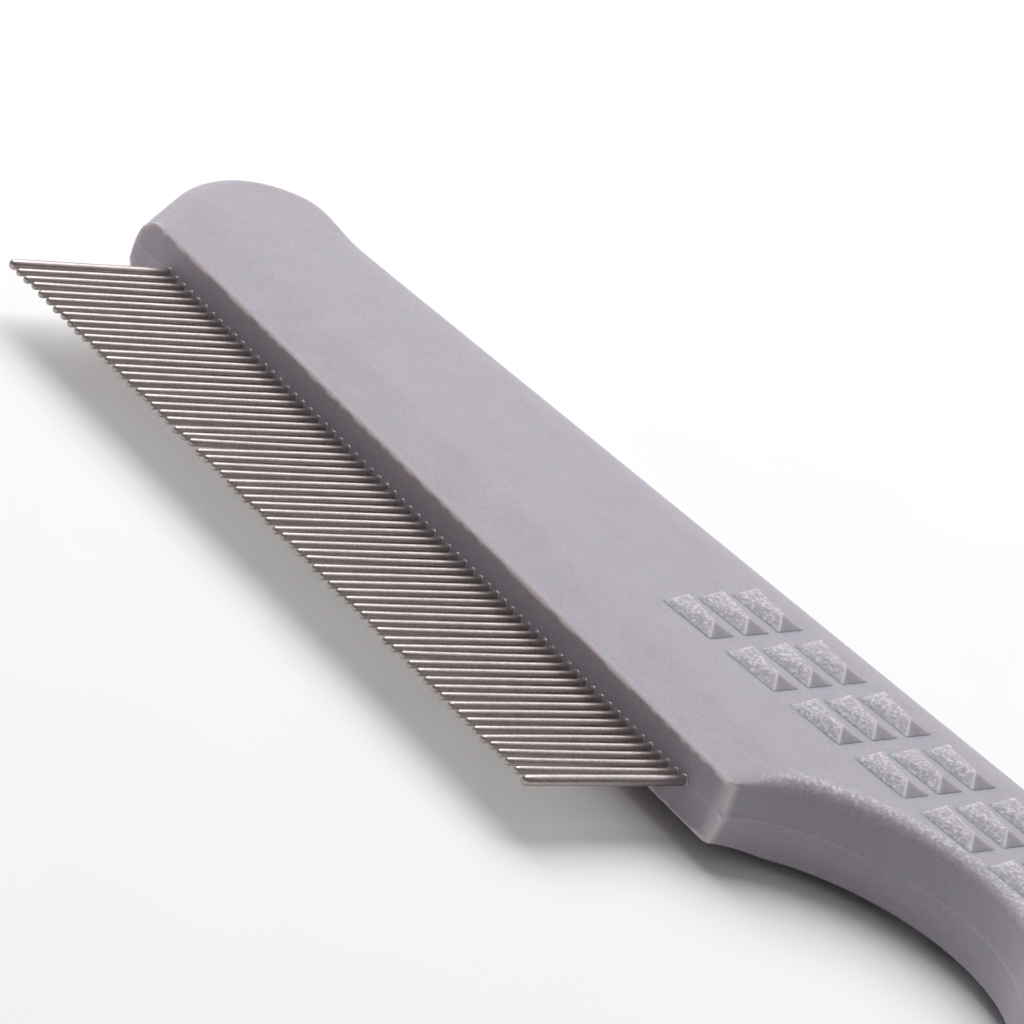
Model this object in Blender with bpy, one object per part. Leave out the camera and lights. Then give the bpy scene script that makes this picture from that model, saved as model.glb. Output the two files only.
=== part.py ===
"""Flea comb: a one-piece plastic handle and head, with a row of round steel pins set in the edge.

The comb lies in the XY plane. X runs along the row of pins, from the rounded head towards the
handle, the pins point to -Y, and the handle's two moulded halves meet at z = 0. The plan is drawn
with the first guard pin's root at x = 0, y = 0, and the whole comb is then moved so that the
centre of its bounding box is at the world origin. Lengths are in metres.
"""

import math

import bmesh
import bpy
from mathutils import Matrix, Vector

MM = 0.001

# The row of pins
PIN_PITCH = 0.87 * MM
FINE_PINS = 65
FINE_RADIUS = 0.26 * MM
GUARD_RADIUS = 0.35 * MM
PIN_REACH = 13.0 * MM  # from the tooth edge to the tips
PIN_DEPTH = 5.0 * MM  # from the tooth edge to the buried ends
PIN_SIDES = 10
TIP_STEPS = 2
HOLE_CLEARANCE = 0.03 * MM
PINS_IN_GROUP = 8  # six single pins, then two joined by a buried link
LINK_LENGTH = 0.6 * MM
LINK_HEIGHT = 0.3 * MM
LINK_INSET = 0.2 * MM  # from the pins' buried ends

# The tooth edge and the strip that slopes up from it
EDGE_START = -4.1 * MM
EDGE_END = 61.25 * MM
EDGE_HALF_THICKNESS = 2.17 * MM
STRIP_WIDTH = 4.7 * MM
HALF_THICKNESS = 2.95 * MM

# The back edge, a straight line that leans away from the pins all the way to the handle's end
BACK_AT_ZERO = 17.25 * MM
BACK_LEAN = math.radians(7.9)

# The rounded end of the head
TIP_RADIUS = 7.7 * MM
TIP_CENTRE_X = -2.3 * MM

# The finger notch behind the heel
NOTCH_CENTRE = Vector((73.25, -0.6)) * MM
NOTCH_RADIUS = 12.0 * MM
NOTCH_BLEND_RADIUS = 12.0 * MM

# The handle
HANDLE_WIDTH = 21.0 * MM
HANDLE_END_X = 146.0 * MM  # centre of the round end
HANG_HOLE_RADIUS = 3.5 * MM
HANG_HOLE_CHAMFER = 0.8 * MM

# Edge rounding: how far it reaches in from the outline, and how high the plain wall below it is
BACK_ROUNDING = (5.0 * MM, 0.25 * MM)
TIP_ROUNDING = (2.1 * MM, 0.4 * MM)
NOTCH_ROUNDING = (1.3 * MM, 2.0 * MM)
TOOTH_ROUNDING = (0.0, 2.0 * MM)
TIP_EASE = 0.4  # share of the tip's arc over which the back's rounding turns into the tip's
ROUNDING_STEPS = 5
ARC_STEP = math.radians(7.5)

# The raised grip wedges, three to a row, on both faces
GRIP_ROWS = 14
GRIP_COLUMNS = 3
GRIP_ROW_PITCH = 5.8 * MM
GRIP_COLUMN_PITCH = 3.3 * MM
GRIP_FIRST = Vector((41.98, 8.67)) * MM
GRIP_LENGTH = 4.4 * MM
GRIP_WIDTH = 2.43 * MM
GRIP_HEIGHT = 0.65 * MM
GRIP_START_HEIGHT = 0.53 * MM
GRIP_ROOT = 0.6 * MM  # how far a wedge's base runs down into the handle

ALONG = Vector((math.cos(BACK_LEAN), math.sin(BACK_LEAN)))
ACROSS = Vector((-math.sin(BACK_LEAN), math.cos(BACK_LEAN)))
BACK_FOOT = Vector((0.0, BACK_AT_ZERO))

PLASTIC = ("handle_plastic", (0.430, 0.405, 0.455), 0.55, 0.0)
STEEL = ("pin_steel", (0.620, 0.600, 0.590), 0.25, 1.0)


def clear_scene():
    """Removes the scene's objects."""
    for obj in list(bpy.data.objects):
        bpy.data.objects.remove(obj, do_unlink=True)


def new_collection(name):
    collection = bpy.data.collections.new(name)
    bpy.context.scene.collection.children.link(collection)
    return collection


def new_material(name, color, roughness, metallic):
    material = bpy.data.materials.new(name)
    material.use_nodes = True
    shader = material.node_tree.nodes["Principled BSDF"]
    shader.inputs["Base Color"].default_value = (*color, 1.0)
    shader.inputs["Roughness"].default_value = roughness
    shader.inputs["Metallic"].default_value = metallic
    return material


def object_from(bm, name, collection):
    """Turns a bmesh into an object of its own, with its faces outward."""
    bmesh.ops.recalc_face_normals(bm, faces=bm.faces)
    mesh = bpy.data.meshes.new(name)
    bm.to_mesh(mesh)
    bm.free()
    obj = bpy.data.objects.new(name, mesh)
    collection.objects.link(obj)
    return obj


def boolean(obj, other, operation):
    modifier = obj.modifiers.new(other.name, "BOOLEAN")
    modifier.operation = operation
    modifier.solver = "EXACT"
    modifier.object = other


def hide_helper(obj):
    obj.hide_render = True
    obj.display_type = "WIRE"


# ---------------------------------------------------------------- the handle's outline


def on_back_line(x):
    """The point of the back edge at this x."""
    return BACK_FOOT + ALONG * (x / ALONG.x)


def arc(centre, radius, start, end):
    """Points of an arc from one angle to another, both ends included."""
    steps = max(2, round(abs(end - start) / ARC_STEP))
    angles = [start + (end - start) * i / steps for i in range(steps + 1)]
    return [centre + radius * Vector((math.cos(a), math.sin(a))) for a in angles]


def angle_of(vector):
    return math.atan2(vector.y, vector.x)


def tip_centre():
    """The tip's arc has its centre one radius inside the back edge."""
    return on_back_line(TIP_CENTRE_X) - ACROSS * TIP_RADIUS


def handle_end_centre():
    return on_back_line(HANDLE_END_X) - ACROSS * (HANDLE_WIDTH / 2)


def notch_blend_centre():
    """Centre of the arc that touches both the notch's circle and the handle's front edge."""
    front_foot = BACK_FOOT - ACROSS * HANDLE_WIDTH
    height = front_foot.dot(ACROSS) + NOTCH_BLEND_RADIUS - NOTCH_CENTRE.dot(ACROSS)
    reach = NOTCH_RADIUS + NOTCH_BLEND_RADIUS
    return NOTCH_CENTRE + ALONG * math.sqrt(reach**2 - height**2) + ACROSS * height


def tip_side_angle():
    """Angle on the tip's arc where the straight side from the tooth edge's start meets it."""
    to_corner = Vector((EDGE_START, 0.0)) - tip_centre()
    opening = math.acos(TIP_RADIUS / to_corner.length)
    return angle_of(to_corner) - opening + 2 * math.pi


def mixed(first, second, share):
    """A rounding between two others."""
    return tuple(a + (b - a) * share for a, b in zip(first, second))


def outline_stations():
    """The outline, anticlockwise from the tooth edge's start, as (point, rounding) pairs."""
    stations = [(Vector((EDGE_START, 0.0)), (TOOTH_ROUNDING[0], TIP_ROUNDING[1]))]
    stations.append((Vector((EDGE_END, 0.0)), TOOTH_ROUNDING))

    blend = notch_blend_centre()
    notch_start = math.pi + math.asin(NOTCH_CENTRE.y / NOTCH_RADIUS)
    notch_end = angle_of(blend - NOTCH_CENTRE)
    notch = arc(NOTCH_CENTRE, NOTCH_RADIUS, notch_start, notch_end)
    stations += [(point, NOTCH_ROUNDING) for point in notch[1:]]

    swell = arc(blend, NOTCH_BLEND_RADIUS, notch_end - math.pi, BACK_LEAN - math.pi / 2)
    for i, point in enumerate(swell[1:], 1):
        share = i / (len(swell) - 1)
        stations.append((point, mixed(NOTCH_ROUNDING, BACK_ROUNDING, share)))

    end = arc(
        handle_end_centre(),
        HANDLE_WIDTH / 2,
        BACK_LEAN - math.pi / 2,
        BACK_LEAN + math.pi / 2,
    )
    stations += [(point, BACK_ROUNDING) for point in end]

    tip = arc(tip_centre(), TIP_RADIUS, BACK_LEAN + math.pi / 2, tip_side_angle())
    for i, point in enumerate(tip):
        share = min(1.0, i / (TIP_EASE * (len(tip) - 1)))
        stations.append((point, mixed(BACK_ROUNDING, TIP_ROUNDING, share)))
    return stations


def inward_reach(stations, index):
    """How the outline moves in at a station, per unit of rounding, as a vector.

    Where the two sides round by different amounts, as at the heel, each side moves in by its own.
    """
    before, _ = stations[index - 1]
    here, rounding = stations[index]
    after, next_rounding = stations[(index + 1) % len(stations)]
    side_in = (here - before).normalized()
    side_out = (after - here).normalized()
    normal_in = Vector((-side_in.y, side_in.x))
    normal_out = Vector((-side_out.y, side_out.x))
    reach_in = rounding[0]
    reach_out = next_rounding[0] if index == 1 else rounding[0]
    if index == 0:
        reach_in = TIP_ROUNDING[0]
    turn = side_in.x * side_out.y - side_in.y * side_out.x
    if abs(turn) < 0.02:
        return normal_out * reach_out
    # The point that lies reach_in inside the side before and reach_out inside the side after.
    return (side_out * reach_in - side_in * reach_out) / turn


def handle_blank(collection):
    """The handle's upper half, rounded in from its outline, and mirrored to the lower half."""
    stations = outline_stations()
    reaches = [inward_reach(stations, i) for i in range(len(stations))]
    bm = bmesh.new()
    rings = []
    for level in range(-1, ROUNDING_STEPS + 1):
        turn = math.pi / 2 * max(level, 0) / ROUNDING_STEPS
        ring = []
        for (point, (_, wall)), reach in zip(stations, reaches):
            place = point + reach * (1 - math.cos(turn))
            height = 0.0 if level < 0 else wall + (HALF_THICKNESS - wall) * math.sin(turn)
            ring.append(bm.verts.new((place.x, place.y, height)))
        rings.append(ring)
    for lower, upper in zip(rings, rings[1:]):
        for i in range(len(lower)):
            j = (i + 1) % len(lower)
            bm.faces.new((lower[i], lower[j], upper[j], upper[i]))
    bm.faces.new(rings[-1])
    upper_half = bm.faces[:]
    mirrored = bmesh.ops.duplicate(bm, geom=bm.verts[:] + bm.edges[:] + upper_half)
    turned = [item for item in mirrored["geom"] if isinstance(item, bmesh.types.BMVert)]
    bmesh.ops.scale(bm, vec=(1.0, 1.0, -1.0), verts=turned)
    bmesh.ops.remove_doubles(bm, verts=bm.verts[:], dist=0.0001 * MM)
    return object_from(bm, "comb_handle", collection)


# ---------------------------------------------------------------- what is cut from the handle


def add_box(bm, low, high):
    made = bmesh.ops.create_cube(bm, size=1.0)["verts"]
    bmesh.ops.scale(bm, vec=high - low, verts=made)
    bmesh.ops.translate(bm, vec=(low + high) / 2, verts=made)
    return made


def strip_cutter(collection):
    """Two boxes, tilted about the tooth edge's corners, that leave the strip's slope on each face."""
    slope = math.atan2(HALF_THICKNESS - EDGE_HALF_THICKNESS, STRIP_WIDTH)
    length = 40 * MM
    depth = 10 * MM
    bm = bmesh.new()
    for side in (1, -1):
        low = Vector((EDGE_START - length, -depth, 0.0))
        high = Vector((EDGE_END + length, depth, depth))
        made = add_box(bm, low, high)
        bmesh.ops.rotate(bm, matrix=Matrix.Rotation(slope, 3, "X"), verts=made)
        bmesh.ops.translate(bm, vec=(0.0, 0.0, EDGE_HALF_THICKNESS), verts=made)
        bmesh.ops.scale(bm, vec=(1.0, 1.0, side), verts=made)
    cutter = object_from(bm, "strip_cutter", collection)
    hide_helper(cutter)
    return cutter


def hang_hole_cutter(collection):
    """A spool: the hole's cylinder, opening out as a chamfer at both faces."""
    over = 1 * MM
    half = HALF_THICKNESS
    throat = half - HANG_HOLE_CHAMFER
    bm = bmesh.new()
    profile = [
        (0.0, half + over),
        (HANG_HOLE_RADIUS + HANG_HOLE_CHAMFER + over, half + over),
        (HANG_HOLE_RADIUS, throat),
        (HANG_HOLE_RADIUS, -throat),
        (HANG_HOLE_RADIUS + HANG_HOLE_CHAMFER + over, -half - over),
        (0.0, -half - over),
    ]
    verts = [bm.verts.new((radius, 0.0, height)) for radius, height in profile]
    edges = [bm.edges.new(pair) for pair in zip(verts, verts[1:])]
    bmesh.ops.spin(
        bm,
        geom=verts + edges,
        axis=(0.0, 0.0, 1.0),
        cent=(0.0, 0.0, 0.0),
        steps=32,
        angle=2 * math.pi,
        use_merge=True,
    )
    bmesh.ops.remove_doubles(bm, verts=bm.verts[:], dist=0.0001 * MM)
    cutter = object_from(bm, "hang_hole_cutter", collection)
    cutter.location = handle_end_centre().to_3d()
    hide_helper(cutter)
    return cutter


# ---------------------------------------------------------------- the grip wedges


def grip_places():
    """The corner of each wedge nearest the head and the notch."""
    for row in range(GRIP_ROWS):
        for column in range(GRIP_COLUMNS):
            step = ALONG * (row * GRIP_ROW_PITCH) + ACROSS * (column * GRIP_COLUMN_PITCH)
            yield GRIP_FIRST + step


def grip_wedges(collection):
    """Every wedge, joined as one helper for the handle's Boolean union.

    Each wedge has a ridge that runs slantwise over its rectangular base, from its back corner
    nearest the head to a point in from its far end. Its four sides slope down from the ridge.
    """
    front, back = 0.0, GRIP_WIDTH
    near, far = 0.0, GRIP_LENGTH
    corners = [
        (near, front, -GRIP_ROOT),
        (near, back, -GRIP_ROOT),
        (far, back, -GRIP_ROOT),
        (far, front, -GRIP_ROOT),
        (near, front, 0.0),
        (near, back, 0.0),
        (far, back, 0.0),
        (far, front, 0.0),
        (near + GRIP_LENGTH * 0.06, front + GRIP_WIDTH * 0.82, GRIP_START_HEIGHT),
        (far - GRIP_LENGTH * 0.20, front + GRIP_WIDTH * 0.42, GRIP_HEIGHT),
    ]
    bm = bmesh.new()
    for place in grip_places():
        for side in (1, -1):
            made = []
            for along, across, height in corners:
                spot = place + ALONG * along + ACROSS * across
                level = side * (HALF_THICKNESS + height)
                made.append(bm.verts.new((spot.x, spot.y, level)))
            bmesh.ops.convex_hull(bm, input=made)
    wedges = object_from(bm, "grip_wedges", collection)
    hide_helper(wedges)
    return wedges


# ---------------------------------------------------------------- the pins


def pin_root(index):
    """Where a pin leaves the tooth edge. The guards are the first and last pins of the row."""
    return Vector((index * PIN_PITCH, 0.0, 0.0))


def add_pin(bm, root, radius, growth=0.0, mouth=None):
    """A rod along Y with a rounded tip.

    growth widens and deepens it, for the hole that takes it. mouth is how far a hole's cutter
    stands out of the tooth edge, in place of the pin's own reach.
    """
    reach = PIN_REACH if mouth is None else mouth
    depth = PIN_DEPTH + growth
    made = bmesh.ops.create_cone(
        bm,
        cap_ends=True,
        segments=PIN_SIDES,
        radius1=radius + growth,
        radius2=radius + growth,
        depth=depth + reach,
    )["verts"]
    bmesh.ops.rotate(bm, matrix=Matrix.Rotation(math.pi / 2, 3, "X"), verts=made)
    bmesh.ops.translate(bm, vec=root + Vector((0.0, (depth - reach) / 2, 0.0)), verts=made)
    if mouth is None:
        round_tip(bm, made, radius)
    return made


def round_tip(bm, verts, radius):
    """Rounds the end of the rod that is farthest along -Y."""
    front = min(vert.co.y for vert in verts)
    rim = {vert for vert in verts if vert.co.y < front + radius * 0.01}
    edges = [edge for edge in bm.edges if edge.verts[0] in rim and edge.verts[1] in rim]
    bmesh.ops.bevel(
        bm,
        geom=edges,
        offset=radius * 0.8,
        offset_type="OFFSET",
        segments=TIP_STEPS,
        profile=0.5,
        affect="EDGES",
    )


def add_link(bm, first, second, growth=0.0):
    """The bar between two buried pin ends."""
    far = PIN_DEPTH - LINK_INSET
    low = Vector((first.x, far - LINK_LENGTH - growth, -LINK_HEIGHT / 2 - growth))
    high = Vector((second.x, far + growth, LINK_HEIGHT / 2 + growth))
    return add_box(bm, low, high)


def pin_groups():
    """The fine pins' places, as tuples of one pin, or of the two that share a buried link."""
    groups = []
    index = 1
    while index <= FINE_PINS:
        pair = (index - 1) % PINS_IN_GROUP == PINS_IN_GROUP - 2 and index < FINE_PINS
        groups.append((index, index + 1) if pair else (index,))
        index += len(groups[-1])
    return groups


def steel_pin(name, indices, radius, collection, helpers):
    """One pin, or two joined at their buried ends."""
    pins = []
    for index in indices:
        bm = bmesh.new()
        add_pin(bm, pin_root(0), radius)
        pin_name = name if not pins else f"{name}_second"
        pins.append(object_from(bm, pin_name, collection if not pins else helpers))
        pins[-1].location = pin_root(index)
    if len(indices) == 2:
        bm = bmesh.new()
        add_link(bm, pin_root(0), pin_root(indices[1] - indices[0]))
        link = object_from(bm, f"{name}_link", helpers)
        link.location = pin_root(indices[0])
        for other in (link, pins[1]):
            boolean(pins[0], other, "UNION")
            hide_helper(other)
    return pins[0], pins[1:] + ([link] if len(indices) == 2 else [])


def pin_hole_cutter(collection):
    """All the blind holes in the tooth edge, each a little wider and deeper than its pin."""
    last = FINE_PINS + 1
    radii = {index: FINE_RADIUS for index in range(1, last)}
    radii[0] = radii[last] = GUARD_RADIUS
    mouth = 1 * MM
    bm = bmesh.new()
    for index, radius in radii.items():
        add_pin(bm, pin_root(index), radius, growth=HOLE_CLEARANCE, mouth=mouth)
    cutter = object_from(bm, "pin_hole_cutter", collection)
    hide_helper(cutter)
    return cutter


def link_slot_cutter(collection):
    """The slots between the buried ends of the linked pins."""
    bm = bmesh.new()
    for group in pin_groups():
        if len(group) == 2:
            add_link(bm, pin_root(group[0]), pin_root(group[1]), growth=HOLE_CLEARANCE)
    cutter = object_from(bm, "link_slot_cutter", collection)
    hide_helper(cutter)
    return cutter


# ---------------------------------------------------------------- assembly


def build_handle(collection, helpers):
    handle = handle_blank(collection)
    boolean(handle, strip_cutter(helpers), "DIFFERENCE")
    boolean(handle, grip_wedges(helpers), "UNION")
    boolean(handle, hang_hole_cutter(helpers), "DIFFERENCE")
    boolean(handle, pin_hole_cutter(helpers), "DIFFERENCE")
    boolean(handle, link_slot_cutter(helpers), "DIFFERENCE")
    return handle


def build_pins(collection, helpers):
    """The two guard pins and the fine pins, with the helpers that some of them are joined from."""
    made = []
    extras = []
    last = FINE_PINS + 1
    plan = [("guard_pin_head", (0,), GUARD_RADIUS), ("guard_pin_heel", (last,), GUARD_RADIUS)]
    for group in pin_groups():
        name = "fine_pin_" + "_".join(f"{index:02d}" for index in group)
        plan.append((name, group, FINE_RADIUS))
    for name, indices, radius in plan:
        pin, others = steel_pin(name, indices, radius, collection, helpers)
        made.append(pin)
        extras += others
    return made, extras


def centre_on_origin(root, objects):
    """Moves the empty that carries the comb, so that the comb's bounding box is centred."""
    bpy.context.view_layer.update()
    graph = bpy.context.evaluated_depsgraph_get()
    corners = []
    for obj in objects:
        evaluated = obj.evaluated_get(graph)
        corners += [evaluated.matrix_world @ vert.co for vert in evaluated.data.vertices]
    low = Vector([min(corner[axis] for corner in corners) for axis in range(3)])
    high = Vector([max(corner[axis] for corner in corners) for axis in range(3)])
    root.location = -(low + high) / 2


def main():
    clear_scene()
    collection = new_collection("flea_comb")
    helpers = new_collection("cutters")
    plastic = new_material(*PLASTIC)
    steel = new_material(*STEEL)

    handle = build_handle(collection, helpers)
    handle.data.materials.append(plastic)
    pins, extras = build_pins(collection, helpers)
    for pin in pins:
        pin.data.materials.append(steel)
        pin.data.shade_smooth()

    root = bpy.data.objects.new("flea_comb_root", None)
    collection.objects.link(root)
    for obj in [handle, *pins, *extras, *helpers.objects]:
        obj.parent = root
    centre_on_origin(root, [handle, *pins])


main()
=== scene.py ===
"""Flea comb: the visual model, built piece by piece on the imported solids.

All lengths are in metres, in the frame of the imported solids: +X runs along the row of pins from
the rounded head to the handle's hang hole, the pins point to -Y, and +Z leaves the upper face.
Plan coordinates have their zero where the first guard pin leaves the tooth edge.
"""

import logging
import math
from dataclasses import dataclass, field
from enum import Enum

import bmesh
import bpy
import numpy as np
from mathutils import Matrix, Vector


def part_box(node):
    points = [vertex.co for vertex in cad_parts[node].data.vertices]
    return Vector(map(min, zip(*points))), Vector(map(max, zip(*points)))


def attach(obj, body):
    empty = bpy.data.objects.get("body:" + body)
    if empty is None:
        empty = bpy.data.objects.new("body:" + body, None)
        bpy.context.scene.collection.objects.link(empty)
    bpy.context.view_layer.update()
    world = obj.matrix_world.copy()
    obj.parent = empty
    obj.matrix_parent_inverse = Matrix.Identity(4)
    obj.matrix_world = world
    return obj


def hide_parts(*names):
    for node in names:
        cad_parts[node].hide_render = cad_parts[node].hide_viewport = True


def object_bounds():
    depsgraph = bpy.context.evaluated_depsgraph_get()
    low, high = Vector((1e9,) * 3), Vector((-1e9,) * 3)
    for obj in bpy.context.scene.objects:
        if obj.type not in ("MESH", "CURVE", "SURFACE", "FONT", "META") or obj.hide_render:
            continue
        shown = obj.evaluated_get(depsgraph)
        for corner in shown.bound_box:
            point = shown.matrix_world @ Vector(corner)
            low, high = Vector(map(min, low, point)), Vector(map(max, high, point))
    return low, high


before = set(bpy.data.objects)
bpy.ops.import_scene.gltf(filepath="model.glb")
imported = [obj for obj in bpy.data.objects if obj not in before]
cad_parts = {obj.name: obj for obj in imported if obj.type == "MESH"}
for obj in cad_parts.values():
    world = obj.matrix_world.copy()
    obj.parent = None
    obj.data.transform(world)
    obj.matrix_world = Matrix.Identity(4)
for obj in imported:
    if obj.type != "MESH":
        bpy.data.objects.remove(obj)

MM = 0.001
BODY = "root"
CAD_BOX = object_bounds()
MERGE = 0.000002
MIX_FIRST, MIX_SECOND, MIX_RESULT = 6, 7, 2  # the colour sockets of a Mix node

Color = tuple[float, float, float]
Socket = bpy.types.NodeSocket

log = logging.getLogger("flea_comb")


class Face(Enum):
    """The two faces of the comb, by the sign of their height."""

    UPPER = 1
    LOWER = -1


class Slot(Enum):
    """The record's material slots."""

    PLASTIC = "handle_plastic"
    STEEL = "pin_steel"


class Attribute(Enum):
    """The values that a piece's mesh carries for its material."""

    COARSE = "coarse_grain"
    # Pale along the parting seam, with painted highlights on the lip, the heel and the wedges'
    # front edges.
    SEAM = "pale_seam"
    # Painted shade in the wedges' creases.
    CREASE = "dusty_crease"


# ---------------------------------------------------------------- meshes


class Stock:
    """Grids of points, gathered until they are joined into one piece."""

    def __init__(self) -> None:
        """Starts with no points."""
        self.points: list[np.ndarray] = []
        self.faces: list[np.ndarray] = []
        self.values: dict[Attribute, list[np.ndarray]] = {kind: [] for kind in Attribute}
        self.count = 0

    def add_grid(
        self,
        grid: np.ndarray,
        wrap: bool = False,
        flip: bool = False,
        coarse: np.ndarray | float = 0.0,
        seam: np.ndarray | float = 0.0,
        crease: np.ndarray | float = 0.0,
    ) -> None:
        """Adds a grid of points, with a four-sided face in each of its cells.

        Args:
            grid: points as an array of rows, columns and three coordinates.
            wrap: joins the last row to the first.
            flip: turns the faces the other way round.
            coarse: how coarse the moulded grain is at each point, from 0 to 1.
            seam: how pale each point is painted, from 0 to 1: along the parting seam, and as a
                painted highlight on the tooth edge's lip, the heel and the wedges' front edges.
            crease: how much painted shade darkens each point, as in the wedges' creases, from 0 to
                1.
        """
        rows, columns = grid.shape[:2]
        index = np.arange(rows * columns).reshape(rows, columns) + self.count
        if wrap:
            index = np.concatenate([index, index[:1]])
        quads = np.stack(
            [index[:-1, :-1], index[1:, :-1], index[1:, 1:], index[:-1, 1:]], axis=-1
        ).reshape(-1, 4)
        self.points.append(grid.reshape(-1, 3))
        self.faces.append(quads[:, ::-1] if flip else quads)
        for kind, value in zip(Attribute, (coarse, seam, crease)):
            spread = np.broadcast_to(np.asarray(value, float), (rows, columns))
            self.values[kind].append(spread.reshape(-1))
        self.count += rows * columns

    def build(self, name: str, sharp: float = math.radians(50)) -> bpy.types.Object:
        """Joins the grids into one closed piece, merged where they meet, with its faces outward.

        Args:
            name: the piece's name.
            sharp: the angle between two faces past which their edge is left sharp.

        Returns:
            The piece's object, at the origin.
        """
        mesh = bpy.data.meshes.new(name)
        points = np.concatenate(self.points)
        mesh.from_pydata(points.tolist(), [], np.concatenate(self.faces).tolist())
        for kind, values in self.values.items():
            layer = mesh.attributes.new(kind.value, "FLOAT", "POINT")
            layer.data.foreach_set("value", np.concatenate(values).astype(np.float32))
        bm = bmesh.new()
        bm.from_mesh(mesh)
        bmesh.ops.remove_doubles(bm, verts=bm.verts[:], dist=MERGE)
        bmesh.ops.recalc_face_normals(bm, faces=bm.faces[:])
        bm.to_mesh(mesh)
        bm.free()
        mesh.validate()
        mesh.shade_smooth()
        mesh.set_sharp_from_angle(angle=sharp)
        obj = bpy.data.objects.new(name, mesh)
        bpy.context.scene.collection.objects.link(obj)
        return obj


def eased(share: np.ndarray) -> np.ndarray:
    """A share from 0 to 1 that starts and ends gently: 3 times its square less 2 times its cube."""
    return share**2 * (3 - 2 * share)


def spun_grid(radius: np.ndarray, along: np.ndarray, sides: int) -> np.ndarray:
    """A profile spun round the Y axis.

    Each point lies at its profile's radius from the axis, in the direction of its side's angle,
    and at its profile's place along -Y.

    Args:
        radius: the profile's distances from the axis.
        along: the profile's distances along -Y.
        sides: the number of sides.

    Returns:
        A grid of sides by profile points, to be wrapped.
    """
    angle = np.arange(sides)[:, None] * (2 * math.pi / sides)
    return np.stack(
        [
            np.cos(angle) * radius[None],
            np.broadcast_to(-along[None], (sides, len(along))),
            np.sin(angle) * radius[None],
        ],
        axis=-1,
    )


def settle(piece: bpy.types.Object, material: bpy.types.Material, slot: Slot, *nodes: str) -> None:
    """Dresses a piece, hangs it on the comb's body and says which solids it stands for.

    Args:
        piece: the finished piece.
        material: its finish.
        slot: the record's slot that the finish fills; not used.
        nodes: the solids that the piece stands for, if any.
    """
    piece.data.materials.clear()
    piece.data.materials.append(material)
    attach(piece, BODY)
    if nodes:
        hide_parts(*nodes)
    log.info("%s: %d faces, for %s", piece.name, len(piece.data.polygons), nodes or "no solid")


# ---------------------------------------------------------------- node trees


class Tree:
    """A node tree under construction, with short calls for what the finishes need."""

    def __init__(self, tree: bpy.types.NodeTree) -> None:
        """Takes an empty tree."""
        self.tree = tree
        tree.nodes.clear()

    def node(self, kind: str, **settings: object) -> bpy.types.Node:
        """Adds a node and sets its properties."""
        made = self.tree.nodes.new(kind)
        for name, value in settings.items():
            setattr(made, name, value)
        return made

    def link(self, source: Socket, target: Socket) -> None:
        """Joins two sockets."""
        self.tree.links.new(source, target)

    def feed(self, target: Socket, value: object) -> None:
        """Joins a socket to another one, or sets it to a plain value.

        Args:
            target: the input socket.
            value: an output socket, or the plain value.
        """
        if isinstance(value, Socket):
            self.link(value, target)
        else:
            target.default_value = value

    def math(
        self, operation: str, first: Socket | float, second: Socket | float, third: float = 0.0
    ) -> Socket:
        """Adds a Math node.

        Args:
            operation: the sum's name, as the node has it.
            first: its first number.
            second: its second number.
            third: its third number, for the sums that take one.

        Returns:
            The result.
        """
        made = self.node("ShaderNodeMath", operation=operation)
        for socket, value in zip(made.inputs, (first, second, third)):
            self.feed(socket, value)
        return made.outputs[0]

    def noise(
        self, vector: Socket, scale: Socket | float, detail: float, roughness: float
    ) -> Socket:
        """Adds a Noise Texture.

        Args:
            vector: the place on the surface.
            scale: how many spots there are to a metre.
            detail: how many finer layers there are.
            roughness: how strong each finer layer is.

        Returns:
            The noise's value.
        """
        made = self.node("ShaderNodeTexNoise", noise_dimensions="3D")
        inputs = {"Vector": vector, "Scale": scale, "Detail": detail, "Roughness": roughness}
        for name, value in inputs.items():
            self.feed(made.inputs[name], value)
        return made.outputs["Fac"]

    def blend(self, color: Socket, other: Socket | Color, share: Socket) -> Socket:
        """Adds a colour Mix.

        Args:
            color: the colour where the share is 0.
            other: the colour where the share is 1.
            share: how much of the other colour there is.

        Returns:
            The mixed colour.
        """
        made = self.node("ShaderNodeMix", data_type="RGBA", clamp_factor=True)
        self.link(share, made.inputs["Factor"])
        self.link(color, made.inputs[MIX_FIRST])
        self.feed(made.inputs[MIX_SECOND], other if isinstance(other, Socket) else (*other, 1.0))
        return made.outputs[MIX_RESULT]

    def remap(
        self, value: Socket, low: float, high: float, to_low: float = 0.0, to_high: float = 1.0
    ) -> Socket:
        """Adds a clamped Map Range.

        Args:
            value: the number to map.
            low: the number that becomes to_low.
            high: the number that becomes to_high.
            to_low: the least result.
            to_high: the greatest result.

        Returns:
            The mapped number.
        """
        made = self.node("ShaderNodeMapRange", clamp=True)
        self.link(value, made.inputs["Value"])
        limits = {"From Min": low, "From Max": high, "To Min": to_low, "To Max": to_high}
        for name, number in limits.items():
            made.inputs[name].default_value = number
        return made.outputs["Result"]

    def bump(self, height: Socket, depth: float) -> Socket:
        """Adds a Bump node.

        Args:
            height: the relief, from 0 to 1.
            depth: how deep the whole relief is.

        Returns:
            The bumped normal.
        """
        made = self.node("ShaderNodeBump")
        made.inputs["Distance"].default_value = depth
        self.link(height, made.inputs["Height"])
        return made.outputs["Normal"]


def new_group(name: str, inputs: dict[str, tuple[str, object]], outputs: dict[str, str]) -> Tree:
    """Makes an empty shader node group with the given sockets.

    Args:
        name: the group's name.
        inputs: the kind and the starting value of each input, by name.
        outputs: the kind of each output, by name.

    Returns:
        The group's tree, without its input and output nodes.
    """
    group = bpy.data.node_groups.new(name, "ShaderNodeTree")
    for socket, (kind, value) in inputs.items():
        made = group.interface.new_socket(name=socket, in_out="INPUT", socket_type=kind)
        made.default_value = value
    for socket, kind in outputs.items():
        group.interface.new_socket(name=socket, in_out="OUTPUT", socket_type=kind)
    return Tree(group)


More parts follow.
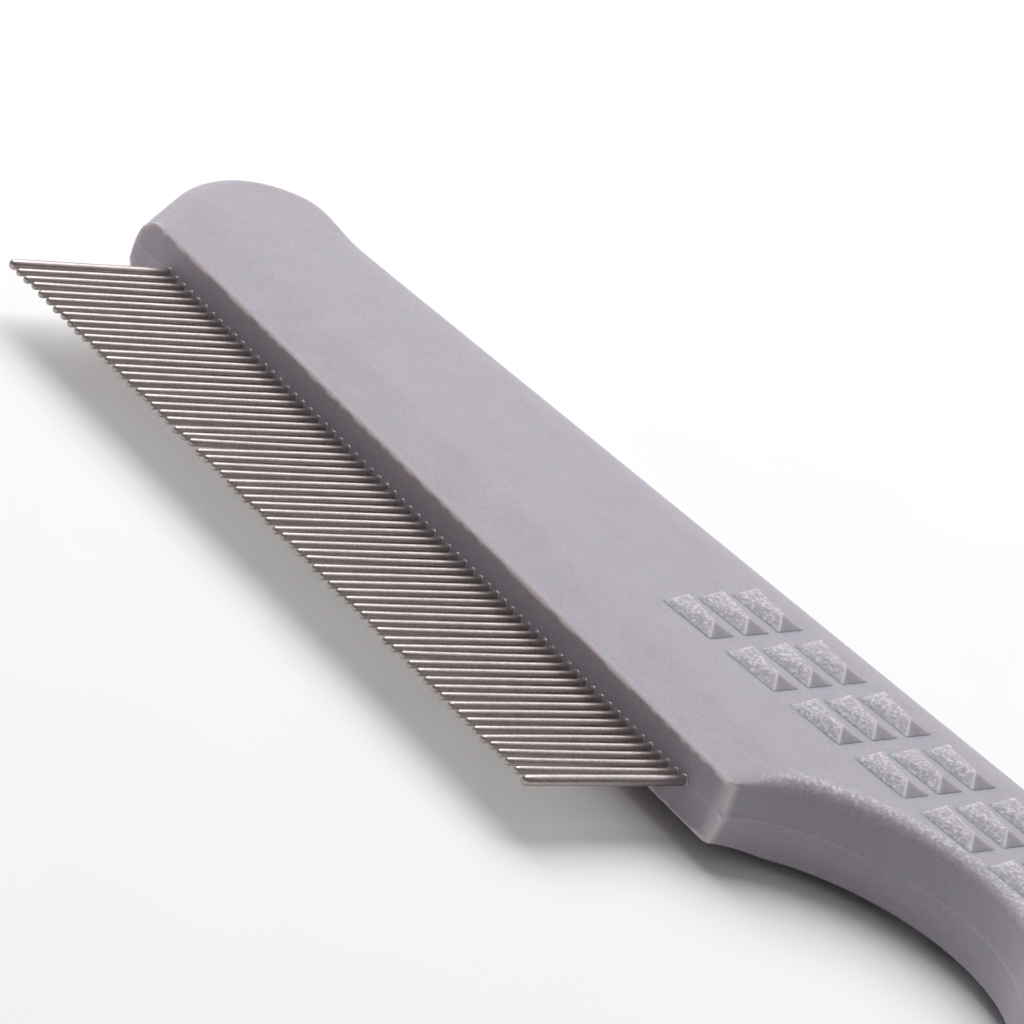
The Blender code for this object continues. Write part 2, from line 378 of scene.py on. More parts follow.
def grain_group() -> bpy.types.NodeTree:
    """The grain that a spark-eroded or blasted surface has: fine pits, and coarse ones on request.

    Height is the relief, and Fleck is where a pit's rim catches the light.

    Returns:
        The node group.
    """
    tree = new_group(
        "surface_grain",
        {"Pitch": ("NodeSocketFloat", 3000.0), "Coarse": ("NodeSocketFloat", 0.0)},
        {"Height": "NodeSocketFloat", "Fleck": "NodeSocketFloat"},
    )
    source = tree.node("NodeGroupInput")
    place = tree.node("ShaderNodeTexCoord").outputs["Object"]
    fine = tree.noise(place, source.outputs["Pitch"], 2.0, 0.6)
    wide = tree.noise(place, tree.math("MULTIPLY", source.outputs["Pitch"], 1.25), 2.0, 0.6)
    coarse = tree.math("MULTIPLY", tree.remap(wide, 0.3, 0.7), source.outputs["Coarse"])
    height = tree.math("ADD", tree.math("MULTIPLY", coarse, 0.95), tree.math("MULTIPLY", fine, 0.7))
    fleck = tree.math(
        "MULTIPLY", tree.remap(wide, 0.42, 0.62), tree.remap(fine, 0.4, 0.6, 0.4, 1.0)
    )
    sink = tree.node("NodeGroupOutput")
    tree.link(height, sink.inputs["Height"])
    tree.link(fleck, sink.inputs["Fleck"])
    return tree.tree


def wear_group() -> bpy.types.NodeTree:
    """Slow clouds of shade, as use and handling leave them, with small specks.

    Color is the shaded colour, and Polish is how much handling has smoothed the surface.

    Returns:
        The node group.
    """
    tree = new_group(
        "handling_wear",
        {
            "Color": ("NodeSocketColor", (0.5, 0.5, 0.5, 1.0)),
            "Shade": ("NodeSocketColor", (0.4, 0.4, 0.4, 1.0)),
            "Pitch": ("NodeSocketFloat", 200.0),
            "Amount": ("NodeSocketFloat", 0.5),
        },
        {"Color": "NodeSocketColor", "Polish": "NodeSocketFloat"},
    )
    source = tree.node("NodeGroupInput")
    place = tree.node("ShaderNodeTexCoord").outputs["Object"]
    cloud = tree.noise(place, source.outputs["Pitch"], 3.0, 0.55)
    speck = tree.noise(place, tree.math("MULTIPLY", source.outputs["Pitch"], 8.0), 1.0, 0.5)
    share = tree.math(
        "ADD", tree.remap(cloud, 0.35, 0.68, 0.0, 0.4), tree.remap(speck, 0.38, 0.64, 0.0, 0.7)
    )
    share = tree.math("MULTIPLY", share, source.outputs["Amount"])
    sink = tree.node("NodeGroupOutput")
    color = tree.blend(source.outputs["Color"], source.outputs["Shade"], share)
    tree.link(color, sink.inputs["Color"])
    tree.link(tree.remap(cloud, 0.3, 0.7), sink.inputs["Polish"])
    return tree.tree


@dataclass(frozen=True)
class Effects:
    """The node groups that the finishes share."""

    grain: bpy.types.NodeTree
    wear: bpy.types.NodeTree


def placed(tree: Tree, group: bpy.types.NodeTree, **values: object) -> bpy.types.Node:
    """Places a node group in a material and sets its inputs.

    Args:
        tree: the material's tree.
        group: the node group.
        values: the inputs' values, by name.

    Returns:
        The group's node.
    """
    made = tree.node("ShaderNodeGroup", node_tree=group)
    for name, value in values.items():
        made.inputs[name].default_value = value
    return made


@dataclass(frozen=True)
class Finish:
    """What every finish has: two shades, and the clouds of wear that mix them."""

    name: str
    color: Color
    shade: Color
    wear_pitch: float
    wear_amount: float

    def begin(
        self, effects: Effects
    ) -> tuple[bpy.types.Material, Tree, bpy.types.Node, bpy.types.Node]:
        """Starts the material, with its shader joined to its output.

        Args:
            effects: the shared node groups.

        Returns:
            The material, its tree, its shader and its wear group's node.
        """
        material = bpy.data.materials.new(self.name)
        material.use_nodes = True
        tree = Tree(material.node_tree)
        shader = tree.node("ShaderNodeBsdfPrincipled")
        sink = tree.node("ShaderNodeOutputMaterial")
        tree.link(shader.outputs["BSDF"], sink.inputs["Surface"])
        wear = placed(
            tree,
            effects.wear,
            Color=(*self.color, 1.0),
            Shade=(*self.shade, 1.0),
            Pitch=self.wear_pitch,
            Amount=self.wear_amount,
        )
        return material, tree, shader, wear


@dataclass(frozen=True)
class MouldedPlastic(Finish):
    """Matte injection-moulded plastic, lightly translucent, with a spark-eroded grain."""

    name: str = "moulded_plastic"
    color: Color = (0.430, 0.405, 0.455)
    shade: Color = (0.365, 0.340, 0.395)
    wear_pitch: float = 420.0
    wear_amount: float = 0.55
    # Pale colour of the parting seam, and of the painted highlights on the lip, the heel and the
    # wedges' front edges.
    seam_and_highlight_color: Color = (0.70, 0.68, 0.70)
    # Painted glint colour, where the grain's pit rims catch the light.
    glint_color: Color = (0.74, 0.72, 0.76)
    # Painted shade colour for the wedges' creases.
    crease_shade_color: Color = (0.20, 0.185, 0.20)
    # Shares of the painted glints, on all grain and more on the coarse grain.
    glint_share: float = 0.06
    coarse_glint_share: float = 0.80
    roughness: tuple[float, float] = (0.62, 0.76)
    gloss: float = 0.36
    grain_pitch: float = 3200.0
    grain_depth: float = 0.026 * MM
    bleed: float = 0.75
    bleed_depth: float = 1.8 * MM
    bleed_colors: Color = (1.0, 0.66, 0.58)
    index: float = 1.49

    def material(self, effects: Effects) -> bpy.types.Material:
        """Builds the material: the colour with its clouds of wear, then painted glints, painted
        crease shade, and the pale seam with painted highlights over it.

        Args:
            effects: the shared node groups.

        Returns:
            The material.
        """
        material, tree, shader, wear = self.begin(effects)
        plain = {
            "Subsurface Weight": self.bleed,
            "Subsurface Radius": self.bleed_colors,
            "Subsurface Scale": self.bleed_depth,
            "IOR": self.index,
            "Specular IOR Level": self.gloss,
        }
        for name, value in plain.items():
            shader.inputs[name].default_value = value
        coarse, seam, crease = (
            tree.node("ShaderNodeAttribute", attribute_name=kind.value).outputs["Fac"]
            for kind in Attribute
        )
        grain = placed(tree, effects.grain, Pitch=self.grain_pitch)
        tree.link(coarse, grain.inputs["Coarse"])
        # Painted glints: the grain's pit rims painted pale, far more on the coarse grain.
        glinting = tree.math("MULTIPLY_ADD", coarse, self.coarse_glint_share, self.glint_share)
        color = wear.outputs["Color"]
        # Painted marks over the colour: glints on the grain, shade in the wedges' creases, and the
        # pale seam with the highlights on the lip, the heel and the wedges' front edges.
        for share, other in (
            (tree.math("MULTIPLY", grain.outputs["Fleck"], glinting), self.glint_color),
            (crease, self.crease_shade_color),
            (seam, self.seam_and_highlight_color),
        ):
            color = tree.blend(color, other, share)
        tree.link(color, shader.inputs["Base Color"])
        dull = tree.remap(wear.outputs["Polish"], 0.0, 1.0, *self.roughness)
        tree.link(dull, shader.inputs["Roughness"])
        tree.link(tree.bump(grain.outputs["Height"], self.grain_depth), shader.inputs["Normal"])
        return material


@dataclass(frozen=True)
class DrawnSteel(Finish):
    """Bright drawn wire, with faint lines along its length and a few darker clouds."""

    name: str = "drawn_steel"
    color: Color = (0.50, 0.445, 0.43)
    shade: Color = (0.34, 0.29, 0.275)
    wear_pitch: float = 700.0
    wear_amount: float = 0.7
    roughness: tuple[float, float] = (0.30, 0.42)
    line_pitches: tuple[float, float, float] = (9000.0, 260.0, 9000.0)
    line_depth: float = 0.0012 * MM

    def material(self, effects: Effects) -> bpy.types.Material:
        """Builds the material: worn colour, and drawn lines in its gloss and its relief.

        Args:
            effects: the shared node groups.

        Returns:
            The material.
        """
        material, tree, shader, wear = self.begin(effects)
        shader.inputs["Metallic"].default_value = 1.0
        tree.link(wear.outputs["Color"], shader.inputs["Base Color"])
        stretch = tree.node("ShaderNodeMapping")
        stretch.inputs["Scale"].default_value = self.line_pitches
        tree.link(tree.node("ShaderNodeTexCoord").outputs["Object"], stretch.inputs["Vector"])
        lines = tree.noise(stretch.outputs["Vector"], 1.0, 2.0, 0.6)
        tree.link(tree.remap(lines, 0.3, 0.7, *self.roughness), shader.inputs["Roughness"])
        tree.link(tree.bump(lines, self.line_depth), shader.inputs["Normal"])
        return material


@dataclass(frozen=True)
class PaleBoard(Finish):
    """The studio's matte white board."""

    name: str = "pale_board"
    color: Color = (0.95, 0.95, 0.95)
    shade: Color = (0.93, 0.93, 0.93)
    wear_pitch: float = 14.0
    wear_amount: float = 0.5
    roughness: float = 0.85

    def material(self, effects: Effects) -> bpy.types.Material:
        """Builds the material: worn colour and an even dullness.

        Args:
            effects: the shared node groups.

        Returns:
            The material.
        """
        material, tree, shader, wear = self.begin(effects)
        shader.inputs["Roughness"].default_value = self.roughness
        tree.link(wear.outputs["Color"], shader.inputs["Base Color"])
        return material


# ---------------------------------------------------------------- the handle


@dataclass(frozen=True)
class Rounding:
    """An edge's rounding: how far it reaches in from the outline, and the plain wall below it."""

    reach: float
    wall: float


@dataclass
class Outline:
    """The comb's outline in plan, as two chains that both run from the tip to the handle's end."""

    edge_start: float = -4.14 * MM
    edge_end: float = 60.86 * MM
    corner: float = 0.22 * MM
    tip_radius: float = 7.61 * MM
    tip_centre_x: float = -2.3 * MM
    back_at_zero: float = 17.2 * MM
    lean: float = math.radians(7.9)
    notch_centre: tuple[float, float] = (73.2 * MM, -0.6 * MM)
    notch_radius: float = 12.33 * MM
    blend_radius: float = 12.0 * MM
    width: float = 20.9 * MM
    end_x: float = 146.0 * MM
    back: Rounding = Rounding(4.9 * MM, 0.25 * MM)
    crown: Rounding = Rounding(1.1 * MM, 0.4 * MM)
    tip: Rounding = Rounding(2.1 * MM, 0.4 * MM)
    notch: Rounding = Rounding(1.1 * MM, 2.1 * MM)
    crown_lead: float = 3.5 * MM
    crown_share: float = 0.42
    step: float = 0.06 * MM
    batch: int = 1500

    def __post_init__(self) -> None:
        """Works out the chains once."""
        self.along = np.array([math.cos(self.lean), math.sin(self.lean)])
        self.across = np.array([-math.sin(self.lean), math.cos(self.lean)])
        self.end_centre = self.on_back(self.end_x) - self.across * self.width / 2
        self.lay_out()

    def on_back(self, x: float) -> np.ndarray:
        """The point of the straight back edge at this x."""
        return np.array([0.0, self.back_at_zero]) + self.along * (x / self.along[0])

    def arc(self, centre: np.ndarray, radius: float, start: float, end: float) -> np.ndarray:
        """Points of an arc: the centre plus the radius in each direction from start to end.

        Args:
            centre: the arc's centre.
            radius: its radius.
            start: the first direction, as an angle from +X.
            end: the last one.

        Returns:
            The points, one to a row.
        """
        count = max(3, int(abs(end - start) * radius / self.step))
        angle = np.linspace(start, end, count)
        return np.asarray(centre) + radius * np.stack([np.cos(angle), np.sin(angle)], axis=1)

    def line(self, start: np.ndarray, end: np.ndarray) -> np.ndarray:
        """Evenly spaced points on a straight line.

        Args:
            start: its first point.
            end: its last one.

        Returns:
            The points, one to a row.
        """
        count = max(2, int(np.linalg.norm(end - start) / self.step))
        share = np.linspace(0.0, 1.0, count)[:, None]
        return start * (1 - share) + end * share

    def lay_out(self) -> None:
        """Lays out the rim, from the tooth edge's far end round to its start, and its roundings.

        The rim is the notch's circle, the swell that touches it and the handle's front edge, the
        front edge, the round end, the back edge, the tip's arc and the straight side that touches
        it. The tooth edge closes it along y = 0. Each stretch eases from one rounding to another.
        """
        centre = np.array(self.notch_centre)
        front_foot = np.array([0.0, self.back_at_zero]) - self.across * self.width
        rise = (front_foot - centre) @ self.across + self.blend_radius
        reach = self.notch_radius + self.blend_radius
        blend = centre + self.along * math.sqrt(reach**2 - rise**2) + self.across * rise
        toward = blend - centre
        notch_end = math.atan2(toward[1], toward[0])
        heel = np.array([self.edge_end - self.corner, self.corner])
        heel_arc = self.arc(heel, self.corner, -math.pi / 2, 0.0)
        notch_start = math.pi - math.asin((self.corner - centre[1]) / self.notch_radius)
        notch = self.arc(centre, self.notch_radius, notch_start, notch_end)
        low = self.lean - math.pi / 2
        swell = self.arc(blend, self.blend_radius, notch_end - math.pi, low)
        front = self.line(swell[-1], self.end_centre - self.across * self.width / 2)
        end = self.arc(self.end_centre, self.width / 2, low, low + math.pi)
        tip_centre = self.on_back(self.tip_centre_x) - self.across * self.tip_radius
        back = self.line(end[-1], tip_centre + self.across * self.tip_radius)
        corner = np.array([self.edge_start, 0.0]) - tip_centre
        touch = math.acos(self.tip_radius / np.linalg.norm(corner))
        tip_end = math.atan2(corner[1], corner[0]) - touch + 2 * math.pi
        tip = self.arc(tip_centre, self.tip_radius, low + math.pi, tip_end)
        side = self.line(tip[-1], np.array([self.edge_start, 0.0]))

        crown = int(len(tip) * self.crown_share)
        lead = int(self.crown_lead / self.step)
        onto_crown = eased(np.linspace(0.0, 1.0, lead + crown))
        lead_in = np.concatenate([np.zeros(len(back) - 1 - lead), onto_crown[:lead]])
        past_crown = tip[crown + 1 :]
        stretches = (
            (heel_arc, 0.0, self.notch, self.notch),
            (notch[1:], 0.0, self.notch, self.notch),
            (swell[1:], np.linspace(0.0, 1.0, len(swell) - 1), self.notch, self.back),
            (front[1:], 0.0, self.back, self.back),
            (end[1:], 0.0, self.back, self.back),
            (back[1:], lead_in, self.back, self.crown),
            (tip[1 : crown + 1], onto_crown[lead:], self.back, self.crown),
            (past_crown, np.linspace(0.0, 1.0, len(past_crown)), self.crown, self.tip),
            (side[1:], 0.0, self.tip, self.tip),
        )
        rounded = []
        for points, share, first, second in stretches:
            share = eased(np.broadcast_to(share, len(points)))
            reaches = first.reach + (second.reach - first.reach) * share
            walls = first.wall + (second.wall - first.wall) * share
            rounded.append(np.column_stack([points, reaches, walls]))
        rim = np.concatenate(rounded)
        self.rim, self.rim_reach, self.rim_wall = rim[:, :2], rim[:, 2], rim[:, 3]

        far = int(np.argmax(self.rim[:, 0]))
        near = int(np.argmin(self.rim[:, 0]))
        tooth = self.line(np.array([self.edge_start, 0.0]), self.rim[0])
        self.front = np.concatenate([self.rim[near:], tooth[1:-1], self.rim[: far + 1]])
        self.back_chain = self.rim[far : near + 1][::-1]

    def distance(self, points: np.ndarray) -> tuple[np.ndarray, np.ndarray, np.ndarray]:
        """How far each point is inside the rim, and the rounding where it is nearest.

        The nearest of every other rim point is found first, and then the nearest place on the
        rim's lines beside it.

        Args:
            points: plan points, one to a row.

        Returns:
            The distances, the reaches and the wall heights.
        """
        near = np.empty(len(points), int)
        gap = np.full(len(points), np.inf)
        for start in range(0, len(points), self.batch):
            some = slice(start, start + self.batch)
            square = ((points[some, None] - self.rim[None, ::2]) ** 2).sum(axis=2)
            near[some] = square.argmin(axis=1) * 2
        for shift in (-2, -1, 0, 1):
            first = np.clip(near + shift, 0, len(self.rim) - 2)
            a, b = self.rim[first], self.rim[first + 1]
            share = ((points - a) * (b - a)).sum(1) / np.maximum(((b - a) ** 2).sum(1), 1e-18)
            foot = a + (b - a) * np.clip(share, 0.0, 1.0)[:, None]
            gap = np.minimum(gap, np.linalg.norm(points - foot, axis=1))
        return gap, self.rim_reach[near], self.rim_wall[near]


@dataclass
class CombHandle:
    """The handle and head: one moulding, rounded in from its outline, with a parting seam."""

    zero: np.ndarray
    outline: Outline = field(default_factory=Outline)
    half: float = 2.95 * MM
    edge_half: float = 2.17 * MM
    strip: float = 4.7 * MM
    strip_blend: float = 0.05 * MM
    lip: Rounding = Rounding(0.26 * MM, 1.93 * MM)
    # How pale the tooth edge's lip is painted, as a painted highlight.
    lip_highlight: float = 0.75
    hole_radius: float = 3.5 * MM
    hole_chamfer: float = 0.8 * MM
    hole_ease: float = 0.12 * MM
    ring_start: float = 139.0 * MM
    ring_columns: int = 16
    ring_crowding: float = 1.5
    end_pitch: float = 0.55 * MM
    line_pitch: float = 0.52 * MM
    line_samples: int = 24000
    plain_start: float = 82.0 * MM
    plain_share: float = 0.6
    strip_share: float = 0.3
    strip_columns: int = 22
    strip_crowding: float = 1.8
    field_columns: int = 58
    field_crowding: float = 1.6
    wall_shares: tuple[float, ...] = (1.0, 0.9, 0.75, 0.55, 0.35, 0.15, 0.0)
    draft: float = 0.03
    bulge: float = 0.30 * MM
    grain_place: float = 0.75 * MM
    grain_spread: float = 0.50 * MM
    grain_gain: float = 1.2
    # How pale the heel's corner is painted, as a painted highlight, and how far round it that
    # reaches.
    heel_highlight: float = 0.9
    heel_reach: float = 1.5
    seam_half: float = 0.07 * MM
    seam_height: float = 0.03 * MM
    seam_pallor: float = 0.18
    sharp: float = math.radians(60)

    def height(self, points: np.ndarray) -> np.ndarray:
        """The upper surface's height over plan points.

        Over the middle it is the lower of the strip's slope and the flat face, softly blended.
        Within an edge's reach it falls to that edge's wall along a quarter of an ellipse. Where
        the tooth edge's lip and the rim's rounding meet, the lower one holds.

        Args:
            points: plan points, one to a row.

        Returns:
            The heights.
        """
        y = points[:, 1]
        slope = (self.half - self.edge_half) / self.strip
        strip = self.edge_half + slope * y
        gap = strip - self.half
        cap = (strip + self.half - np.sqrt(gap**2 + self.strip_blend**2)) / 2
        inside, reach, wall = self.outline.distance(points)
        rim = self.rounded(inside, reach, wall, cap)
        lip = self.rounded(np.maximum(y, 0.0), self.lip.reach, self.lip.wall, cap)
        over_teeth = points[:, 0] < self.outline.edge_end + self.lip.reach
        return np.where(over_teeth, np.minimum(rim, lip), rim)

    @staticmethod
    def rounded(
        inside: np.ndarray, reach: np.ndarray | float, wall: np.ndarray | float, cap: np.ndarray
    ) -> np.ndarray:
        """A quarter of an ellipse from the wall's height up to the cap's, over the reach.

        Args:
            inside: how far each point is inside the edge.
            reach: how far the rounding goes.
            wall: the height at the edge.
            cap: the height past the reach.

        Returns:
            The heights.
        """
        share = 1 - np.clip(inside / reach, 0.0, 1.0)
        return wall + (cap - wall) * np.sqrt(np.maximum(1 - share**2, 0.0))

    def painted_lip_highlight(self, points: np.ndarray) -> np.ndarray:
        """How pale each point is painted, as a painted highlight along the tooth edge's lip, and
        nowhere else.
        """
        across = np.clip(1 - points[:, 1] / self.lip.reach, 0.0, 1.0)
        return self.lip_highlight * across * (points[:, 0] < self.outline.edge_end)

    def coarse(self, points: np.ndarray) -> np.ndarray:
        """How coarse the grain is: a bell curve across the notch's rim, fullest a little way in.

        Args:
            points: plan points, one to a row.

        Returns:
            Values from 0 to 1.
        """
        inside = self.outline.distance(points)[0]
        band = np.exp(-(((inside - self.grain_place) / self.grain_spread) ** 2))
        return np.clip(self.grain_gain * self.in_notch(points) * band, 0.0, 1.0)

    def in_notch(self, points: np.ndarray) -> np.ndarray:
        """How fully each point belongs to the notch's rim, by the wall's height there.

        Args:
            points: plan points, one to a row.

        Returns:
            Values from 0 to 1.
        """
        outline = self.outline
        wall = outline.distance(points)[2]
        share = (wall - outline.back.wall) / (outline.notch.wall - outline.back.wall)
        past_teeth = (points[:, 0] - outline.edge_end) / outline.corner + 1
        return np.clip(share, 0.0, 1.0) * np.clip(past_teeth, 0.0, 1.0)

    def lines(self) -> np.ndarray:
        """The x of each cross line: evenly spaced along whichever chain is the longer there.

        Over the plain part of the handle, past the notch, the lines are further apart.

        Returns:
            The places, in rising order.
        """
        front, back = self.outline.front, self.outline.back_chain
        x = np.linspace(front[0, 0], self.ring_start, self.line_samples)
        y = np.stack([np.interp(x, c[:, 0], c[:, 1]) for c in (front, back)])
        run = np.sqrt(np.diff(x) ** 2 + np.diff(y, axis=1) ** 2).max(axis=0)
        run *= np.where(x[1:] > self.plain_start, self.plain_share, 1.0)
        length = np.concatenate([[0.0], np.cumsum(run)])
        count = int(length[-1] / self.line_pitch)
        return np.interp(np.linspace(0.0, length[-1], count + 1), length, x)

    def plan_grid(self) -> np.ndarray:
        """Plan points on cross lines from the front chain to the back one.

        Along each line the columns first cross the strip, closest together at the front edge,
        then the rest, closest together at the back edge.

        Returns:
            A grid of lines by columns.
        """
        x = self.lines()
        low = np.interp(x, self.outline.front[:, 0], self.outline.front[:, 1])
        high = np.interp(x, self.outline.back_chain[:, 0], self.outline.back_chain[:, 1])
        split = np.minimum(self.strip, self.strip_share * (high - low))
        first = np.linspace(0.0, 1.0, self.strip_columns + 1) ** self.strip_crowding
        rest = np.linspace(0.0, 1.0, self.field_columns + 1)[1:]
        second = 1 - (1 - rest) ** self.field_crowding
        rows = [
            low[:, None] + split[:, None] * first,
            (low + split)[:, None] + (high - low - split)[:, None] * second,
        ]
        y = np.concatenate(rows, axis=1)
        return np.stack([np.broadcast_to(x[:, None], y.shape), y], axis=-1)

    def end_path(self) -> np.ndarray:
        """The outline's points past the last cross line, from the front round to the back."""
        rim = self.outline.rim
        inside = np.nonzero(rim[:, 0] > self.ring_start)[0]
        return rim[inside[:: int(self.end_pitch / self.outline.step)]]

    def lift(self, plan: np.ndarray) -> np.ndarray:
        """Plan points with their heights, as a grid of the same shape."""
        flat = plan.reshape(-1, 2)
        return np.column_stack([flat, self.height(flat)]).reshape(*plan.shape[:-1], 3)

    def wall_grid(self, rim: np.ndarray) -> tuple[np.ndarray, np.ndarray]:
        """The wall under a closed path of upper-surface points, and its mirror image below.

        From the path the wall runs down to the parting plane, leaning out by the draft, and
        stands out once more in a fine bead where the mould's halves met. In the notch it swells
        out as well, by the bulge, along a parabola.

        Args:
            rim: the closed path's points, anticlockwise seen from above.

        Returns:
            The wall's grid, and how much seam each of its points is.
        """
        tangent = np.roll(rim, -1, axis=0)[:, :2] - np.roll(rim, 1, axis=0)[:, :2]
        outward = np.stack([tangent[:, 1], -tangent[:, 0]], axis=1)
        outward /= np.maximum(np.linalg.norm(outward, axis=1), 1e-12)[:, None]
        top = rim[:, 2]
        above = self.seam_half + (top[:, None] - self.seam_half) * np.array(self.wall_shares)
        bead = np.broadcast_to(np.array([0.5, 0.0]) * self.seam_half, (len(rim), 2))
        height = np.concatenate([above, bead], axis=1)
        seam = np.clip(1 - height / self.seam_half, 0.0, 1.0)
        out = self.draft * (top[:, None] - height) + self.seam_height * np.sqrt(seam)
        swell = self.bulge * self.in_notch(rim[:, :2])
        out += swell[:, None] * (1 - (height / top[:, None]) ** 2)
        mirror = slice(-2, None, -1)
        height = np.concatenate([height, -height[:, mirror]], axis=1)
        out = np.concatenate([out, out[:, mirror]], axis=1)
        seam = np.concatenate([seam, seam[:, mirror]], axis=1)
        plan = rim[:, None, :2] + outward[:, None] * out[..., None]
        return np.concatenate([plan, height[..., None]], axis=-1), seam

    def hole_grid(self, around: np.ndarray) -> np.ndarray:
        """The hang hole's chamfers and wall, from the upper face down to the lower one.

        Args:
            around: the plan points of the end's ring next to the hole.

        Returns:
            The hole's grid, each point at its level's radius in its ring point's direction.
        """
        centre = self.outline.end_centre
        unit = around - centre
        unit /= np.linalg.norm(unit, axis=1)[:, None]
        wide = self.hole_radius + self.hole_chamfer
        throat = self.half - self.hole_chamfer
        ease = self.hole_ease
        radius = [wide, wide - ease, self.hole_radius + ease, self.hole_radius, self.hole_radius]
        height = [self.half, self.half - 0.6 * ease, throat + 0.8 * ease, throat - ease, 0.0]
        radius = np.array(radius + radius[-2::-1])
        height = np.array(height + [-h for h in height[-2::-1]])
        plan = centre + unit[:, None] * radius[None, :, None]
        level = np.broadcast_to(height[None, :, None], (*plan.shape[:2], 1))
        return np.concatenate([plan, level], axis=-1)

    def build(self, material: bpy.types.Material) -> None:
        """Builds the moulding from its two faces, its wall and the hang hole.

        Past the last cross line, a ring of points runs from the hang hole out to the round end,
        closest together at the outline.

        Args:
            material: its finish.
        """
        stock = Stock()
        plan = self.plan_grid()
        end = self.end_path()
        last = plan[-1]
        outer = np.concatenate([last[::-1], end])
        centre = self.outline.end_centre
        toward = outer - centre
        toward /= np.linalg.norm(toward, axis=1)[:, None]
        inner = centre + toward * (self.hole_radius + self.hole_chamfer)
        share = 1 - (1 - np.linspace(0.0, 1.0, self.ring_columns + 1)) ** self.ring_crowding
        ring = inner[:, None] + (outer - inner)[:, None] * share[None, :, None]
        for face in Face:
            for patch, wrap in ((plan, False), (ring, True)):
                grid = self.lift(patch)
                flat = patch.reshape(-1, 2)
                rough = self.coarse(flat).reshape(patch.shape[:2])
                # Painted highlight along the tooth edge's lip.
                pale = self.painted_lip_highlight(flat).reshape(patch.shape[:2])
                grid[..., 2] *= face.value
                grid += self.zero
                lower = face is Face.LOWER
                stock.add_grid(grid, wrap=wrap, flip=lower, coarse=rough, seam=pale)
        front, back = plan[:, 0], plan[1:, -1][::-1]
        path = self.lift(np.concatenate([front, end, back]))
        wall, seam = self.wall_grid(path)
        # The wall is painted pale along the parting seam, and round the heel's corner as a painted
        # highlight.
        corner = self.outline.corner
        away = np.abs(path[:, :2] - self.outline.rim[0] - corner / 2).max(axis=1) / corner
        at_heel = np.clip(self.heel_reach - away, 0.0, 1.0)[:, None]
        pale = np.maximum(seam * self.seam_pallor, at_heel * self.heel_highlight)
        stock.add_grid(wall + self.zero, wrap=True, seam=pale)
        stock.add_grid(self.hole_grid(inner) + self.zero, wrap=True)
        piece = stock.build("comb_handle_moulding", sharp=self.sharp)
        settle(piece, material, Slot.PLASTIC, "comb_handle")


@dataclass
class HeelNub:
    """The small stub that the mould's gate left on the heel, where the seam turns the corner."""

    zero: np.ndarray
    place: tuple[float, float, float] = (61.10 * MM, 0.05 * MM, -0.02 * MM)
    size: tuple[float, float, float] = (0.17 * MM, 0.17 * MM, 0.15 * MM)

    def build(self, material: bpy.types.Material) -> None:
        """Builds the stub: an ellipsoid, its points the size times a unit sphere's.

        Args:
            material: its finish.
        """
        polar = np.linspace(0.0, math.pi, 9)
        ball = spun_grid(np.sin(polar), np.cos(polar), 12)
        stock = Stock()
        grid = ball * np.array(self.size) + np.array(self.place) + self.zero
        # The stub is painted pale all over, as a painted highlight.
        stock.add_grid(grid, wrap=True, seam=1.0)
        settle(stock.build("heel_gate_stub"), material, Slot.PLASTIC)


